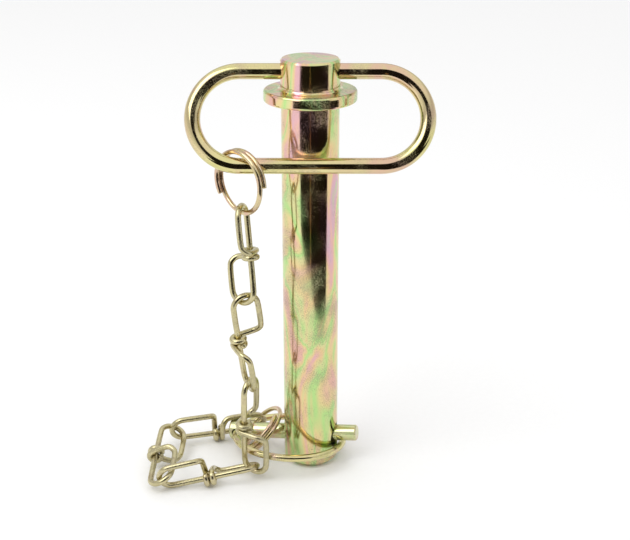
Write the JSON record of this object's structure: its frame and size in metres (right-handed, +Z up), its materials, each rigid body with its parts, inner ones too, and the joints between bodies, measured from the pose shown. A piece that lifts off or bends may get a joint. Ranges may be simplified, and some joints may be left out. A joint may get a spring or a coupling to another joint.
{
  "type": "towing pin",
  "caption": "Collared towing pin with a folding bow handle and a linch pin with snap ring on a knotted wire chain.",
  "frame": {"origin": "centre of the shank's flat lower end", "axes": "+Z up the shank towards the head; X along the handle's pivot"},
  "size_m": [0.1295, 0.0648, 0.1908],
  "materials": {
    "pin": "zinc plated steel, yellow iridescent passivation, glossy",
    "handle": "zinc plated steel wire, yellow passivation, glossy",
    "ring": "zinc plated spring steel, yellow passivation",
    "chain": "zinc plated steel wire, olive yellow, duller",
    "linch": "zinc plated steel, green-yellow passivation",
    "snap": "zinc plated spring steel wire, yellow passivation"
  },
  "bodies": {
    "pin": {"pin_body": "pin"},
    "handle": {"handle": "handle"},
    "upper_split_ring": {"upper_split_ring": "ring"},
    "chain_link_1": {"chain_link_1": "chain"},
    "chain_link_2": {"chain_link_2": "chain"},
    "chain_link_3": {"chain_link_3": "chain"},
    "chain_link_4": {"chain_link_4": "chain"},
    "chain_link_5": {"chain_link_5": "chain"},
    "chain_link_6": {"chain_link_6": "chain"},
    "lower_split_ring": {"lower_split_ring": "ring"},
    "linch_pin": {"linch_pin": "linch"},
    "snap_ring": {"snap_ring": "snap"}
  },
  "joints": [
    {"name": "handle_swing", "type": "hinge", "parent": "pin", "child": "handle", "pos_m": [0, 0, 0.1852], "axis": [-1, 0, 0], "range_deg": [0, 312]},
    {"name": "upper_ring_hang", "type": "hinge", "parent": "handle", "child": "upper_split_ring", "pos_m": [0, -0.01583, 0.14771], "axis": [-0.9983, -0.0561, 0.0142], "range_deg": [-316.2, 0]},
    {"name": "lower_split_ring_turn", "type": "hinge", "parent": "pin", "child": "lower_split_ring", "pos_m": [-0.02016, 0.00877, 0.00729], "axis": [0.965, -0.2406, 0.1045], "range_deg": [-0.3, 0]},
    {"name": "chain_link_6_turn", "type": "hinge", "parent": "lower_split_ring", "child": "chain_link_6", "pos_m": [-0.02624, 0.01386, 0.01349], "axis": [0, 0, 1], "range_deg": [0, 0.3]},
    {"name": "chain_link_5_turn", "type": "hinge", "parent": "chain_link_6", "child": "chain_link_5", "pos_m": [-0.0666, 0.00943, 0.00904], "axis": [0, 0, 1], "range_deg": [-0.3, 0]},
    {"name": "chain_link_4_turn", "type": "hinge", "parent": "chain_link_5", "child": "chain_link_4", "pos_m": [-0.06818, -0.03248, 0.00574], "axis": [0.23, -0.9732, 0], "range_deg": [0, 3]},
    {"name": "chain_link_3_turn", "type": "hinge", "parent": "chain_link_4", "child": "chain_link_3", "pos_m": [-0.02499, -0.02092, 0.00527], "axis": [-0.9135, 0.406, 0.0248], "range_deg": [0, 7]},
    {"name": "chain_link_2_turn", "type": "hinge", "parent": "chain_link_3", "child": "chain_link_2", "pos_m": [-0.02717, -0.01662, 0.04663], "axis": [1, 0, 0], "range_deg": [-7, 0]},
    {"name": "chain_link_1_turn", "type": "hinge", "parent": "chain_link_2", "child": "chain_link_1", "pos_m": [-0.02911, -0.01627, 0.08786], "axis": [1, 0, 0], "range_deg": [-6.5, 0]},
    {"name": "linch_slide", "type": "slide", "parent": "pin", "child": "linch_pin", "axis": [0.965, -0.2406, 0.1045], "range_m": [-0.00035, 0.0001]},
    {"name": "snap_swing", "type": "hinge", "parent": "linch_pin", "child": "snap_ring", "pos_m": [-0.03503, 0.00873, 0.00901], "axis": [0.2376, 0.9625, -0.1305], "range_deg": [0, 1]}
  ],
  "couplings": [
    {"joint": "upper_ring_hang", "follows": "handle_swing", "ratio": -1.0135},
    {"joint": "lower_split_ring_turn", "follows": "handle_swing", "ratio": -0.0009615},
    {"joint": "chain_link_6_turn", "follows": "handle_swing", "ratio": 0.0009615},
    {"joint": "chain_link_5_turn", "follows": "handle_swing", "ratio": -0.0009615},
    {"joint": "chain_link_4_turn", "follows": "handle_swing", "ratio": 0.0096154},
    {"joint": "chain_link_3_turn", "follows": "handle_swing", "ratio": 0.02245},
    {"joint": "chain_link_2_turn", "follows": "handle_swing", "ratio": -0.022436},
    {"joint": "chain_link_1_turn", "follows": "handle_swing", "ratio": -0.020833}
  ]
}
